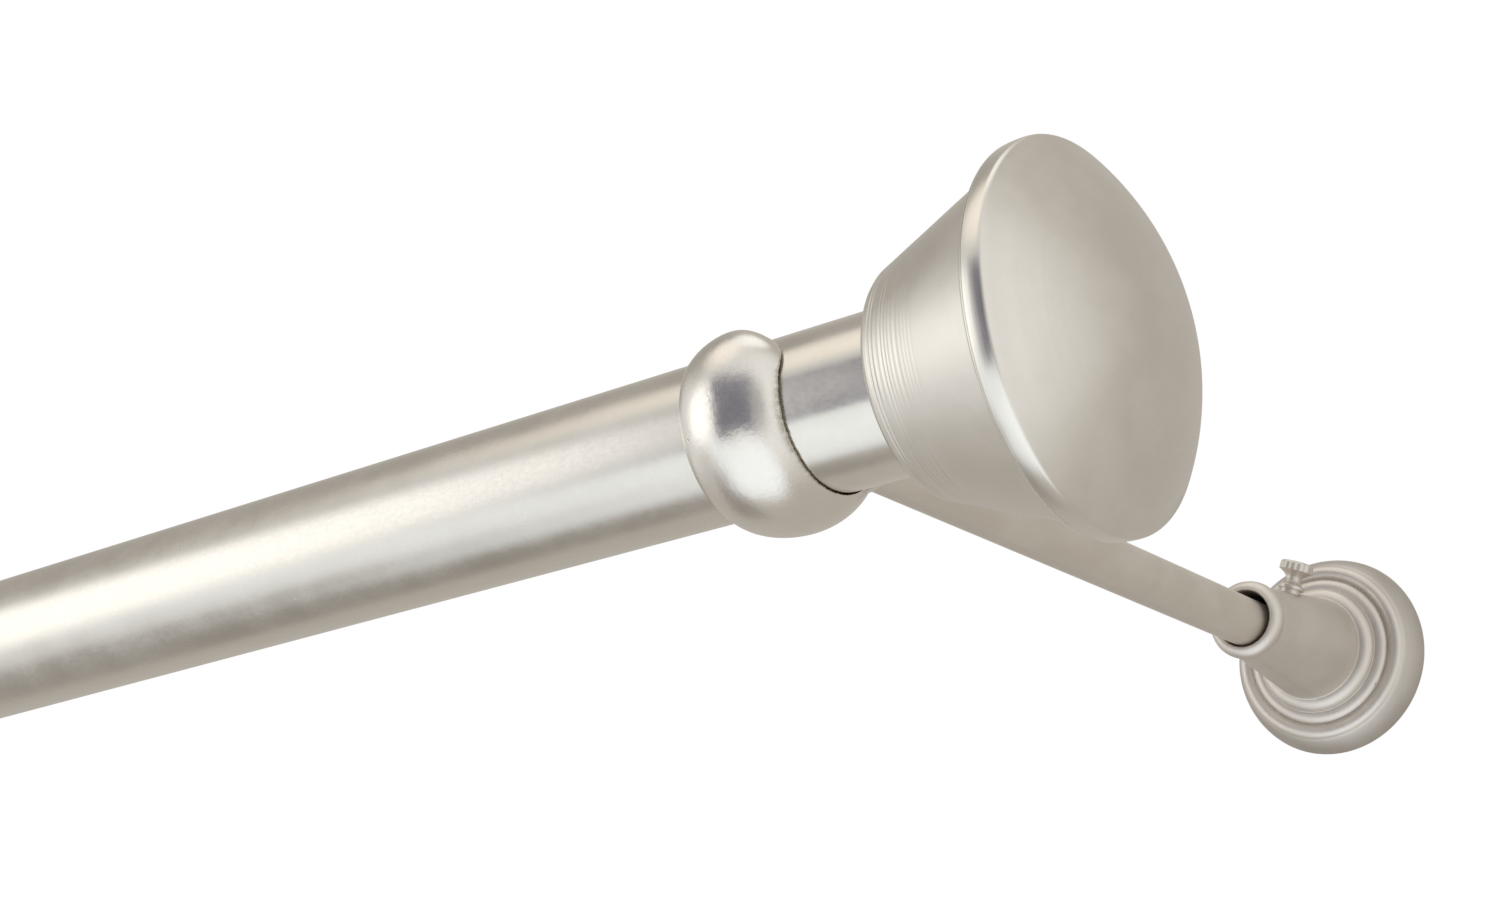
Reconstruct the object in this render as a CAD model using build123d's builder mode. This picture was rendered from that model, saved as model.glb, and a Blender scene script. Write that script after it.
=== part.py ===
from build123d import *
from math import asin, cos, degrees, radians, sin, sqrt
import os

# Curtain rod with two adjustable wall brackets and a push-in finial at each end.
# Millimetres. The wall is the plane y = 0, +Y points into it, +X runs along the rod and +Z is up.
# The origin is midway between the two wall-screw holes.

# Rod
tube_diameter = 19.0
tube_wall = 1.0
tube_end_chamfer = 0.25
bracket_spacing = 600.0
rod_overhang = 20.0
rod_projection = 140.0

# Finial
finial_narrow_diameter = 26.6
finial_narrow_round = 0.6
cone_length = 17.8
cone_diameter = 40.4
band_step = 1.1
band_round = 0.35
band_length = 2.8
band_swell = 0.2
rim_diameter = 43.6
rim_round = 0.4
dome_radius = 34.0

# Plug that holds a finial in the rod, and its screw
plug_seat_depth = 3.0
plug_seat_diameter = 13.0
plug_length = 20.0
plug_core_diameter = 13.6
plug_rib_count = 10
plug_rib_width = 1.6
plug_lead_chamfer = 0.8
plug_fit = 0.15
seat_fit = 0.05
screw_diameter = 4.0
screw_fit = 0.1
screw_head_diameter = 7.2
screw_head_height = 2.4
screw_head_round = 0.8
screw_bite = 9.0
screw_tip_room = 1.0

# Hook that carries the rod
hook_clearance = 0.4
rod_seat_gap = 0.05
hook_half_width = 6.7
hook_thickness = 3.1
hook_edge = 0.5
hook_tip_angle = 131.0
hook_heel_angle = 40.0
hook_end_steps = (0.0, 0.45, 0.75, 0.92, 0.985)
hook_end_fullness = 0.6
boss_diameter = 9.6
boss_reach = 16.0

# Bracket arm
arm_diameter = 7.0
arm_chamfer = 0.5
spigot_diameter = 5.0
spigot_length = 5.0
spigot_fit = 0.1
arm_end_gap = 3.0

# Wall base
base_diameter = 30.0
base_back_diameter = 28.8
base_edge_height = 1.3
shoulder_height = 5.0
shoulder_diameter = 26.6
flank_swell = 0.35
shoulder_swell = 0.7
groove_diameters = (22.4, 18.9, 15.5)
groove_heights = (5.2, 6.3, 8.0)
bead_swell = 0.5
neck_diameter = 10.6
neck_height = 27.4
lip_swell = 0.75
base_height = 30.0
mouth_round = 0.5
socket_diameter = 8.2
socket_floor = 4.6
wall_screw_hole_diameter = 4.6
countersink_land = 0.3
arm_rest_gap = 0.15

# Thumbscrew
thumbscrew_height = 18.5
thumbscrew_turn = 22.0
thumbscrew_diameter = 3.0
thumbscrew_fit = 0.1
thumbscrew_tip_gap = 0.15
collar_diameter = 3.8
collar_height = 0.5
waist_diameter = 2.3
waist_height = 2.3
head_diameter = 4.9
head_height = 1.3
head_round = 0.5
knurl_count = 12
knurl_depth = 0.22

# Places worked out from the sizes above
tube_radius = tube_diameter / 2
tube_bore = tube_radius - tube_wall
bracket_x = bracket_spacing / 2
tube_end = bracket_x + rod_overhang
rod_y = -rod_projection
arm_drop = (socket_diameter - arm_diameter) / 2 - arm_rest_gap
hook_bore = tube_radius + hook_clearance
rod_z = -arm_drop - (hook_clearance - rod_seat_gap)
boss_face = rod_y + boss_reach
arm_end = -socket_floor - arm_end_gap
rod_axis = Axis((tube_end, rod_y, rod_z), (1, 0, 0))
arm_plane = Plane(origin=(bracket_x, boss_face, -arm_drop), x_dir=(1, 0, 0), z_dir=(0, 1, 0))


# The tube runs from finial to finial.
with BuildPart() as rod_tube:
    with BuildSketch(Plane.YZ.offset(-tube_end)):
        with Locations((rod_y, rod_z)):
            Circle(tube_radius)
            Circle(tube_bore, mode=Mode.SUBTRACT)
    extrude(amount=2 * tube_end)
    chamfer(rod_tube.edges().filter_by(GeomType.CIRCLE), tube_end_chamfer)


# The finial is turned: a cone that widens outwards, a stepped rounded band and a low dome.
rim_x = cone_length + band_length
dome_reach = sqrt(dome_radius**2 - (rim_diameter / 2) ** 2)
dome_top = rim_x + dome_radius - dome_reach
dome_mid_angle = asin(rim_diameter / 2 / dome_radius) / 2
dome_middle = (dome_top - dome_radius * (1 - cos(dome_mid_angle)), dome_radius * sin(dome_mid_angle))
band_foot = cone_diameter / 2 + band_step
band_crown = (cone_length + band_length / 2, (band_foot + rim_diameter / 2) / 2 + band_swell)
finial_plane = Plane(origin=(tube_end, rod_y, rod_z), x_dir=(1, 0, 0), z_dir=(0, 0, 1))
seat_hole_depth = plug_seat_depth + screw_bite + screw_tip_room

with BuildPart() as finial:
    with BuildSketch(finial_plane) as finial_half:
        with BuildLine():
            Polyline(
                (0, 0),
                (0, finial_narrow_diameter / 2),
                (cone_length, cone_diameter / 2),
                (cone_length, band_foot),
            )
            ThreePointArc((cone_length, band_foot), band_crown, (rim_x, rim_diameter / 2))
            ThreePointArc((rim_x, rim_diameter / 2), dome_middle, (dome_top, 0))
            Line((dome_top, 0), (0, 0))
        make_face()
        turned_corners = [
            ((rim_x, rim_diameter / 2), rim_round),
            ((cone_length, band_foot), band_round),
            ((0, finial_narrow_diameter / 2), finial_narrow_round),
        ]
        for corner, radius in turned_corners:
            fillet(finial_half.vertices().sort_by_distance(corner)[0], radius)
    revolve(axis=rod_axis)
    with BuildSketch(Plane.YZ.offset(tube_end)):
        with Locations((rod_y, rod_z)):
            Circle(plug_seat_diameter / 2)
    extrude(amount=plug_seat_depth, mode=Mode.SUBTRACT)
    with BuildSketch(Plane.YZ.offset(tube_end)):
        with Locations((rod_y, rod_z)):
            Circle(screw_diameter / 2 + screw_fit / 2)
    extrude(amount=seat_hole_depth, mode=Mode.SUBTRACT)


# The plug is a ribbed moulding: its foot sits in the finial, its ribs grip the inside of the tube.
rib_radius = tube_bore - plug_fit
plug_tip = tube_end - plug_length

with BuildPart() as finial_plug:
    with BuildSketch(Plane.YZ.offset(tube_end)):
        with Locations((rod_y, rod_z)):
            Circle(plug_seat_diameter / 2 - seat_fit)
    extrude(amount=plug_seat_depth)
    with BuildSketch(Plane.YZ.offset(plug_tip)):
        with Locations((rod_y, rod_z)):
            Circle(plug_core_diameter / 2)
            with PolarLocations(0, plug_rib_count):
                with Locations((rib_radius / 2, 0)):
                    Rectangle(rib_radius, plug_rib_width)
    extrude(amount=plug_length)
    with BuildSketch(finial_plane) as rib_limit:
        with BuildLine():
            Polyline(
                (-plug_length, 0),
                (-plug_length, rib_radius - plug_lead_chamfer),
                (plug_lead_chamfer - plug_length, rib_radius),
                (plug_seat_depth, rib_radius),
                (plug_seat_depth, 0),
                close=True,
            )
        make_face()
    revolve(axis=rod_axis, mode=Mode.INTERSECT)
    with Locations(Location((plug_tip, rod_y, rod_z), (0, -90, 0))):
        CounterBoreHole(
            screw_diameter / 2 + screw_fit,
            screw_head_diameter / 2 + screw_fit,
            screw_head_height + screw_fit,
        )


# The screw passes through the plug into the finial. Its domed head sits in the plug's counterbore.
screw_seat = plug_tip + screw_head_height + screw_fit
screw_tip = tube_end + plug_seat_depth + screw_bite

with BuildPart() as plug_screw:
    with BuildSketch(Plane.YZ.offset(screw_seat - screw_head_height)):
        with Locations((rod_y, rod_z)):
            Circle(screw_head_diameter / 2)
    extrude(amount=screw_head_height)
    fillet(plug_screw.edges().group_by(Axis.X)[0], screw_head_round)
    with BuildSketch(Plane.YZ.offset(screw_seat)):
        with Locations((rod_y, rod_z)):
            Circle(screw_diameter / 2)
    extrude(amount=screw_tip - screw_seat)
    chamfer(plug_screw.edges().group_by(Axis.X)[-1], screw_diameter / 8)


# The hook is cast: a rounded band that leaves the boss, goes under the rod and up its front
# to a finger-shaped tip, with a short heel above the boss. It is open at the top.
hook_centre = Vector(bracket_x, rod_y, -arm_drop)
hook_axis = Axis(hook_centre, (1, 0, 0))
end_arc = degrees(hook_half_width / (hook_bore + hook_thickness / 2))
tip_start = hook_tip_angle + end_arc
heel_start = 360 + hook_heel_angle - end_arc


def hook_section(angle, share=1.0):
    """Section of the band, 0 degrees towards the wall and 90 degrees up. A share under 1 makes it smaller."""
    radial = Vector(0, cos(radians(angle)), sin(radians(angle)))
    half_width = hook_half_width * share
    shoulder = hook_bore + hook_edge * share
    foot = hook_bore - hook_edge
    with BuildSketch(Plane(hook_centre, x_dir=(1, 0, 0), z_dir=Vector(1, 0, 0).cross(radial))) as section:
        with BuildLine():
            Polyline(
                (-half_width, shoulder),
                (-half_width, foot),
                (half_width, foot),
                (half_width, shoulder),
            )
            EllipticalCenterArc(
                (0, shoulder),
                half_width,
                (hook_thickness - hook_edge) * share**hook_end_fullness,
                start_angle=0,
                arc_size=180,
            )
        make_face()
    return section.sketch


def rounded_end(start, turn):
    """Sections that narrow from the full band along a quarter circle, for a finger-shaped end."""
    return [hook_section(start + turn * step, sqrt(1 - step**2)) for step in hook_end_steps]


with BuildPart() as hook:
    revolve(hook_section(tip_start), axis=hook_axis, revolution_arc=heel_start - tip_start)
    loft(rounded_end(tip_start, -end_arc))
    loft(rounded_end(heel_start, end_arc))
    with BuildSketch(arm_plane):
        Circle(boss_diameter / 2)
    extrude(amount=-boss_reach)
    with BuildSketch(arm_plane):
        Circle(spigot_diameter / 2 + spigot_fit / 2)
    extrude(amount=-boss_reach, mode=Mode.SUBTRACT)
    with BuildSketch(Plane.YZ.offset(bracket_x)):
        with Locations((rod_y, -arm_drop)):
            Circle(hook_bore)
    extrude(amount=2 * hook_half_width, both=True, mode=Mode.SUBTRACT)


# The arm is a straight bar with a threaded spigot that screws into the hook's boss.
with BuildPart() as arm:
    with BuildSketch(arm_plane):
        Circle(arm_diameter / 2)
    extrude(amount=arm_end - boss_face)
    chamfer(arm.edges().filter_by(GeomType.CIRCLE), arm_chamfer)
    with BuildSketch(arm_plane):
        Circle(spigot_diameter / 2)
    extrude(amount=-spigot_length)


# The wall base is turned: a beaded foot, a tapering neck, a rounded lip and a socket for the arm.
# A countersunk hole in the socket's floor takes the wall screw.
base_plane = Plane(origin=(bracket_x, 0, 0), x_dir=(1, 0, 0), z_dir=(0, 0, -1))
base_axis = Axis((bracket_x, 0, 0), (0, 1, 0))
groove_radii = [diameter / 2 for diameter in groove_diameters]
grooves = list(zip(groove_radii, groove_heights))
shoulder = (shoulder_diameter / 2, shoulder_height)
neck_top = (neck_diameter / 2, neck_height)
mouth_radius = socket_diameter / 2
lip_top = (mouth_radius + mouth_round, base_height)
hole_radius = wall_screw_hole_diameter / 2
screw_lean = (sin(radians(thumbscrew_turn)), 0, cos(radians(thumbscrew_turn)))
thumbscrew_plane = Plane(origin=(bracket_x, -thumbscrew_height, 0), x_dir=(0, 1, 0), z_dir=screw_lean)
countersink_radius = mouth_radius - countersink_land


def swollen_arc(start, end, swell):
    """Arc from start to end that stands out from its chord by swell, to the right of its direction."""
    along = Vector(*end) - Vector(*start)
    middle = (Vector(*start) + Vector(*end)) / 2
    outward = Vector(-along.Y, along.X).normalized() * -swell
    return ThreePointArc(start, middle + outward, end)


with BuildPart() as base:
    with BuildSketch(base_plane):
        with BuildLine():
            Line((hole_radius, 0), (base_back_diameter / 2, 0))
            swollen_arc((base_back_diameter / 2, 0), (base_diameter / 2, base_edge_height), bead_swell / 4)
            swollen_arc((base_diameter / 2, base_edge_height), shoulder, flank_swell)
            swollen_arc(shoulder, grooves[0], shoulder_swell)
            swollen_arc(grooves[0], grooves[1], bead_swell)
            swollen_arc(grooves[1], grooves[2], bead_swell)
            Line(grooves[2], neck_top)
            swollen_arc(neck_top, lip_top, lip_swell)
            swollen_arc(lip_top, (mouth_radius, base_height - mouth_round), mouth_round / 5)
            Polyline(
                (mouth_radius, base_height - mouth_round),
                (mouth_radius, socket_floor),
                (countersink_radius, socket_floor),
                (hole_radius, socket_floor - countersink_radius + hole_radius),
                (hole_radius, 0),
            )
        make_face()
    revolve(axis=base_axis)
    with BuildSketch(thumbscrew_plane):
        Circle(thumbscrew_diameter / 2 + thumbscrew_fit)
    extrude(amount=base_diameter / 2, mode=Mode.SUBTRACT)


# The thumbscrew goes through the neck, a little off upright, and presses the arm down in its socket.
neck_slope = (grooves[2][0] - neck_top[0]) / (neck_height - grooves[2][1])
neck_here = neck_top[0] + neck_slope * (neck_height - thumbscrew_height)
screw_foot = arm_diameter / 2 - arm_drop * screw_lean[2] + thumbscrew_tip_gap
collar_foot = neck_here + collar_diameter / 2 * neck_slope + thumbscrew_tip_gap
collar_top = collar_foot + collar_height
waist_top = collar_top + waist_height
head_top = waist_top + head_height
turning_plane = Plane(
    origin=thumbscrew_plane.origin,
    x_dir=thumbscrew_plane.x_dir,
    z_dir=thumbscrew_plane.x_dir.cross(thumbscrew_plane.z_dir),
)

with BuildPart() as thumbscrew:
    with BuildSketch(turning_plane):
        with BuildLine():
            Polyline(
                (0, head_top),
                (0, screw_foot),
                (thumbscrew_diameter / 2, screw_foot),
                (thumbscrew_diameter / 2, collar_foot),
                (collar_diameter / 2, collar_foot),
                (collar_diameter / 2, collar_top),
            )
            ThreePointArc(
                (collar_diameter / 2, collar_top),
                (waist_diameter / 2, (collar_top + waist_top) / 2),
                (head_diameter / 2, waist_top),
            )
            Line((head_diameter / 2, waist_top), (head_diameter / 2, head_top - head_round))
            swollen_arc(
                (head_diameter / 2, head_top - head_round),
                (head_diameter / 2 - head_round, head_top),
                head_round / 4,
            )
            Line((head_diameter / 2 - head_round, head_top), (0, head_top))
        make_face()
    revolve(axis=Axis(thumbscrew_plane.origin, thumbscrew_plane.z_dir))
    with BuildSketch(thumbscrew_plane.offset(waist_top - head_round)):
        with PolarLocations(head_diameter / 2, knurl_count):
            Circle(knurl_depth)
    extrude(amount=head_height + 2 * head_round, mode=Mode.SUBTRACT)


# Every bracket and finial piece is made for the right end and mirrored for the left end.
right_end = {
    "finial": finial.part,
    "finial_plug": finial_plug.part,
    "plug_screw": plug_screw.part,
    "hook": hook.part,
    "arm": arm.part,
    "base": base.part,
    "thumbscrew": thumbscrew.part,
}
os.makedirs("parts", exist_ok=True)
rod_tube.part.label = "rod_tube"
export_step(rod_tube.part, "parts/rod_tube.step")
for name, piece in right_end.items():
    with BuildPart() as opposite:
        mirror(piece, about=Plane.YZ)
    piece.label = f"right_{name}"
    opposite.part.label = f"left_{name}"
    export_step(piece, f"parts/right_{name}.step")
    export_step(opposite.part, f"parts/left_{name}.step")
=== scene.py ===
"""Satin nickel curtain rod on two wall brackets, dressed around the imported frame.

Sizes are in millimetres and are turned into metres when a mesh is made. The wall is the plane y = 0,
+Y points into it, +X runs along the rod to the end that the camera sees, and +Z is up.
"""

import logging
import math
from dataclasses import dataclass
from enum import Enum
from typing import Any, Sequence

import bpy
import numpy as np
from mathutils import Matrix


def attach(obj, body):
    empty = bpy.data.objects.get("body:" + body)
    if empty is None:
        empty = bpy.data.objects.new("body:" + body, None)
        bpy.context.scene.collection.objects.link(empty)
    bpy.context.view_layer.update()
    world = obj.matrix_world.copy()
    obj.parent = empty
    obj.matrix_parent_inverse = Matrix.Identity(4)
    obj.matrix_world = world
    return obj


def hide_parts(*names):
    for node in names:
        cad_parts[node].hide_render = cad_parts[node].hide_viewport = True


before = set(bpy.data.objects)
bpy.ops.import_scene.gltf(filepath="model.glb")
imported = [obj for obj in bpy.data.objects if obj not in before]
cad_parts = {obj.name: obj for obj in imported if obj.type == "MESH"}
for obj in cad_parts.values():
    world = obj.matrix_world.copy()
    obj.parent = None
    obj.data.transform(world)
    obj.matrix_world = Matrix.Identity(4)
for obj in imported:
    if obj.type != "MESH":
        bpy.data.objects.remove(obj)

log = logging.getLogger("curtain_rod")
MM = 0.001
NEAR_AXIS = 0.05
ALONG_X = (1.0, 0.0, 0.0)
ALONG_Y = (0.0, 1.0, 0.0)
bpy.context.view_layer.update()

Array = np.ndarray
Triple = tuple[float, float, float]
Socket = bpy.types.NodeSocket
Pieces = list[bpy.types.Object]


class End(Enum):
    """The two ends of the rod, with the sign of their x."""

    RIGHT = 1
    LEFT = -1

    @property
    def word(self) -> str:
        """Lower-case name, as the nodes of this end begin."""
        return self.name.lower()


class Grain(Enum):
    """Which way the fine marks of a finish run.

    A straight grain tells how far its marks are drawn out along x, y and z. A round one has a zero on the
    line that it turns about.
    """

    ALONG_ROD = (2.0, 1.0, 1.0)
    ALONG_ARM = (1.0, 4.0, 1.0)
    ROUND_ROD = (0.0, 1.0, 1.0)
    ROUND_ARM = (1.0, 0.0, 1.0)
    CAST = (1.0, 1.0, 1.0)


# Surfaces


def arc(start: Sequence[float], end: Sequence[float], swell: float, steps: int = 14) -> Array:
    """Circular arc in a profile, standing out from its chord by swell.

    The chord's half length c and the swell s give the radius (c*c + s*s) / 2s. Points go round the arc's
    centre by equal angles. A positive swell stands to the left of the direction of travel.

    Args:
        start: first point (along, radius).
        end: last point.
        swell: height of the arc over the middle of its chord.
        steps: number of pieces.

    Returns:
        Array of steps + 1 points.
    """
    first, last = np.asarray(start, float), np.asarray(end, float)
    half = np.linalg.norm(last - first) / 2
    ahead = (last - first) / (2 * half)
    left = np.array([-ahead[1], ahead[0]])
    radius = (half**2 + swell**2) / (2 * swell)
    sweep = math.atan2(half, radius - swell)
    turn = np.linspace(-sweep, sweep, steps + 1)[:, None]
    centre = (first + last) / 2 - left * (radius - swell)
    return centre + radius * (np.cos(turn) * left + np.sin(turn) * ahead)


def rounded(corners: Sequence[Sequence[float]], steps: int = 6, runs: int = 8) -> Array:
    """Open profile of straight runs whose corners are rounded.

    Each corner (along, radius, round) is cut back by its round on both sides, and a quadratic curve with
    the corner as its middle point joins the cuts. Runs are divided so that they shade flat.

    Args:
        corners: points with the length of their round.
        steps: pieces in each round.
        runs: pieces in each straight run.

    Returns:
        Array of profile points.
    """
    table = np.asarray(corners, float)
    point, cut = table[:, :2], table[:, 2:]
    back = np.vstack([point[:1], point[:-1]]) - point
    ahead = np.vstack([point[1:], point[-1:]]) - point
    into = point + cut * back / np.maximum(np.linalg.norm(back, axis=1, keepdims=True), 1e-9)
    out = point + cut * ahead / np.maximum(np.linalg.norm(ahead, axis=1, keepdims=True), 1e-9)
    t = np.linspace(0, 1, steps + 1)[None, :, None]
    bend = (1 - t) ** 2 * into[:, None] + 2 * t * (1 - t) * point[:, None] + t**2 * out[:, None]
    share = (0.5 - 0.5 * np.cos(np.linspace(0, math.pi, runs + 1)[1:-1]))[None, :, None]
    run = out[:-1, None] + share * (into[1:, None] - out[:-1, None])
    run = np.concatenate([run, run[-1:]])
    return joined(np.concatenate([bend, run], axis=1).reshape(-1, 2)[: -(runs - 1)])


def joined(*lines: Array) -> Array:
    """One profile from several in a row, without repeated points."""
    line = np.concatenate(lines)
    keep = np.linalg.norm(np.diff(line, axis=0), axis=1) > 1e-5
    return line[np.concatenate([[True], keep])]


def full_turn(count: int) -> Array:
    """Equal turns round a circle, from nothing."""
    return np.linspace(0, 2 * math.pi, count, endpoint=False)


@dataclass(frozen=True)
class Axle:
    """Line that a turned surface is spun about.

    Attributes:
        origin: point where the profile's along value is zero.
        along: unit direction of the line.
        side: unit direction from which the turn is counted.
    """

    origin: Triple
    along: Triple
    side: Triple

    def place(self, along: Array, radius: Array, turn: Array) -> Array:
        """Points at a distance along the line, a radius from it and a turn round it."""
        axis, side = np.array(self.along), np.array(self.side)
        up = np.cross(axis, side)
        round_it = np.cos(turn)[..., None] * side + np.sin(turn)[..., None] * up
        return np.array(self.origin) + along[..., None] * axis + radius[..., None] * round_it


def linked(name: str, data: bpy.types.ID) -> bpy.types.Object:
    """New object with this data, in the scene."""
    thing = bpy.data.objects.new(name, data)
    bpy.context.scene.collection.objects.link(thing)
    return thing


@dataclass
class Skin:
    """Points and faces of one or more closed surfaces, in millimetres."""

    points: Array
    quads: Array
    tris: Array

    @classmethod
    def from_grid(cls, grid: Array, closed_rows: bool) -> "Skin":
        """Closes a grid of rings into a skin.

        Row i of the grid is a ring that closes on itself. Rings are joined one to the next. The first and
        last ring are joined to each other if closed_rows is true, and otherwise each is shut by a fan
        to its middle point.

        Args:
            grid: points, rows by columns by 3.
            closed_rows: whether the rows also form a loop.

        Returns:
            The skin.
        """
        rows, columns = grid.shape[:2]
        index = np.arange(rows * columns).reshape(rows, columns)
        beside = np.roll(index, -1, axis=1)
        upper, upper_beside = np.roll(index, -1, axis=0), np.roll(beside, -1, axis=0)
        quads = np.stack([index, beside, upper_beside, upper], axis=-1)
        points = grid.reshape(-1, 3)
        if closed_rows:
            return cls(points, quads.reshape(-1, 4), np.empty((0, 3), int))
        quads = quads[:-1].reshape(-1, 4)
        ends = np.stack([grid[0].mean(axis=0), grid[-1].mean(axis=0)])
        first = np.full(columns, len(points))
        fan_in = np.stack([beside[0], index[0], first], axis=-1)
        fan_out = np.stack([index[-1], beside[-1], first + 1], axis=-1)
        return cls(np.concatenate([points, ends]), quads, np.concatenate([fan_in, fan_out]))

    def __add__(self, other: "Skin") -> "Skin":
        """Both skins as one."""
        shift = len(self.points)
        return Skin(
            np.concatenate([self.points, other.points]),
            np.concatenate([self.quads, other.quads + shift]),
            np.concatenate([self.tris, other.tris + shift]),
        )

    def for_end(self, end: End) -> "Skin":
        """This skin at the right end, or its mirror image at the left end."""
        if end is End.RIGHT:
            return self
        return Skin(self.points * np.array([-1.0, 1.0, 1.0]), self.quads, self.tris).flipped()

    def flipped(self) -> "Skin":
        """This skin with its faces turned round."""
        return Skin(self.points, self.quads[:, ::-1], self.tris[:, ::-1])

    def outward(self) -> "Skin":
        """This skin with its faces pointing out, by the sign of the volume that they enclose."""
        a, b, c, d = (self.points[self.quads[:, k]] for k in range(4))
        volume = np.einsum("ij,ij->i", a, np.cross(b, c) + np.cross(c, d)).sum()
        p, q, r = (self.points[self.tris[:, k]] for k in range(3))
        volume += np.einsum("ij,ij->i", p, np.cross(q, r)).sum()
        return self if volume > 0 else self.flipped()

    def build(self, name: str, material: bpy.types.Material) -> bpy.types.Object:
        """Puts the skin into a smooth mesh object at the origin.

        Args:
            name: the piece's name.
            material: its finish.

        Returns:
            The new object, linked to the scene.
        """
        mesh = bpy.data.meshes.new(name)
        mesh.from_pydata((self.points * MM).tolist(), [], self.quads.tolist() + self.tris.tolist())
        mesh.polygons.foreach_set("use_smooth", np.ones(len(mesh.polygons), bool))
        mesh.materials.append(material)
        mesh.update()
        return linked(name, mesh)


def turned(profile: Array, axle: Axle, segments: int, loop: bool, flutes: Array | None = None) -> Skin:
    """Spins a profile about a line.

    A point of the surface lies at the profile's along value on the line, at the profile's radius less the
    flutes' depth there, turned by an equal share of the circle.

    Args:
        profile: points (along, radius).
        axle: the line.
        segments: divisions of the circle.
        loop: whether the profile closes on itself, and not on the line.
        flutes: depth to take off the radius, profile points by segments.

    Returns:
        The closed skin.
    """
    turn = full_turn(segments)[None, :]
    along = np.repeat(profile[:, :1], segments, axis=1)
    radius = np.repeat(profile[:, 1:], segments, axis=1)
    if flutes is not None:
        radius = radius - flutes
    return Skin.from_grid(axle.place(along, radius, turn), loop).outward()


# Finishes


class Graph:
    """Adds linked nodes to a material's or the world's node tree."""

    def __init__(self, tree: bpy.types.NodeTree) -> None:
        """Starts from an empty tree."""
        self.tree = tree
        tree.nodes.clear()

    @classmethod
    def of_material(cls, name: str) -> tuple[bpy.types.Material, "Graph"]:
        """New material and the graph of its tree."""
        material = bpy.data.materials.new(name)
        material.use_nodes = True
        return material, cls(material.node_tree)

    def add(self, kind: str, inputs: dict[Any, Any] | None = None, **settings: Any) -> bpy.types.Node:
        """Adds a node, sets its settings and fills its inputs.

        Args:
            kind: Blender's name of the node type.
            inputs: socket name or number to a value, or to the socket that feeds it.
            settings: attributes of the node.

        Returns:
            The new node.
        """
        node = self.tree.nodes.new(kind)
        for key, value in settings.items():
            setattr(node, key, value)
        for key, value in (inputs or {}).items():
            if isinstance(value, Socket):
                self.tree.links.new(value, node.inputs[key])
            else:
                node.inputs[key].default_value = value
        return node

    def maths(self, operation: str, *values: Any) -> Socket:
        """Result of a Math node on one or two values or sockets."""
        return self.add("ShaderNodeMath", dict(enumerate(values)), operation=operation).outputs[0]

    def dot(self, vector: Socket, side: Sequence[float]) -> Socket:
        """Length of a vector along a side."""
        node = self.add("ShaderNodeVectorMath", {0: vector, 1: tuple(side)}, operation="DOT_PRODUCT")
        return node.outputs["Value"]

    def spread(
        self, value: Socket, low: float, high: float, to_low: float = 0.0, to_high: float = 1.0
    ) -> Socket:
        """Value mapped from low..high to to_low..to_high with soft ends."""
        inputs = {"Value": value, "From Min": low, "From Max": high, "To Min": to_low, "To Max": to_high}
        return self.add("ShaderNodeMapRange", inputs, interpolation_type="SMOOTHSTEP").outputs["Result"]

    def place(self, centre: Triple = (0.0, 0.0, 0.0)) -> Socket:
        """Position in millimetres, from a centre."""
        coordinates = self.add("ShaderNodeTexCoord").outputs["Object"]
        start = tuple(-v for v in centre)
        inputs = {"Vector": coordinates, "Location": start, "Scale": (1 / MM,) * 3}
        return self.add("ShaderNodeMapping", inputs).outputs[0]

    def noise(self, vector: Socket, scale: float, detail: float, roughness: float = 0.5) -> Socket:
        """Noise from 0 to 1."""
        inputs = {"Vector": vector, "Scale": scale, "Detail": detail, "Roughness": roughness}
        return self.add("ShaderNodeTexNoise", inputs).outputs[0]

    def bump(self, height: Socket, depth: float, over: Socket | None = None) -> Socket:
        """Normal of a height pattern that is depth millimetres high, laid over another normal."""
        inputs = {"Height": height, "Strength": 1.0, "Distance": depth * MM}
        if over is not None:
            inputs["Normal"] = over
        return self.add("ShaderNodeBump", inputs).outputs[0]

    def tint(self, share: Socket, first: Any, second: Any) -> Socket:
        """Mix of two colours or colour sockets by a share, from the first to the second."""
        ends = [v if isinstance(v, Socket) else (*v, 1.0) for v in (first, second)]
        inputs = {0: share, 6: ends[0], 7: ends[1]}
        return self.add("ShaderNodeMix", inputs, data_type="RGBA").outputs[2]

    def surface(self, inputs: dict[str, Any]) -> None:
        """Ends a material in a principled shader."""
        shader = self.add("ShaderNodeBsdfPrincipled", inputs)
        self.add("ShaderNodeOutputMaterial", {"Surface": shader.outputs[0]})


@dataclass(frozen=True)
class Stretch:
    """Part of a piece, between two distances from the finish's centre, where the plate differs and where
    its colour can be darkened as painted shade.

    Attributes:
        axis: direction of the distance, both ways.
        first: millimetres to its beginning, below zero where it takes in the centre.
        last: millimetres to its end.
        roughness: factor on the roughness.
        marks: factor on the height of the marks.
        shade: factor on the colour; below one it is painted shade that stands in for a darker reflection.
        fade: half the width of its soft ends.
    """

    axis: Triple
    first: float
    last: float
    roughness: float
    marks: float
    shade: float = 1.0
    fade: float = 0.1

    def share(self, graph: Graph, place: Socket) -> Socket:
        """One inside the stretch and nothing outside: the smaller of its shares at the two ends.

        Args:
            graph: the material's graph.
            place: position in millimetres.

        Returns:
            Socket from 0 to 1.
        """
        away = graph.maths("ABSOLUTE", graph.dot(place, self.axis))
        begun = graph.spread(away, self.first - self.fade, self.first + self.fade)
        left = graph.spread(away, self.last - self.fade, self.last + self.fade, 1.0, 0.0)
        return graph.maths("MINIMUM", begun, left)


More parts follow.
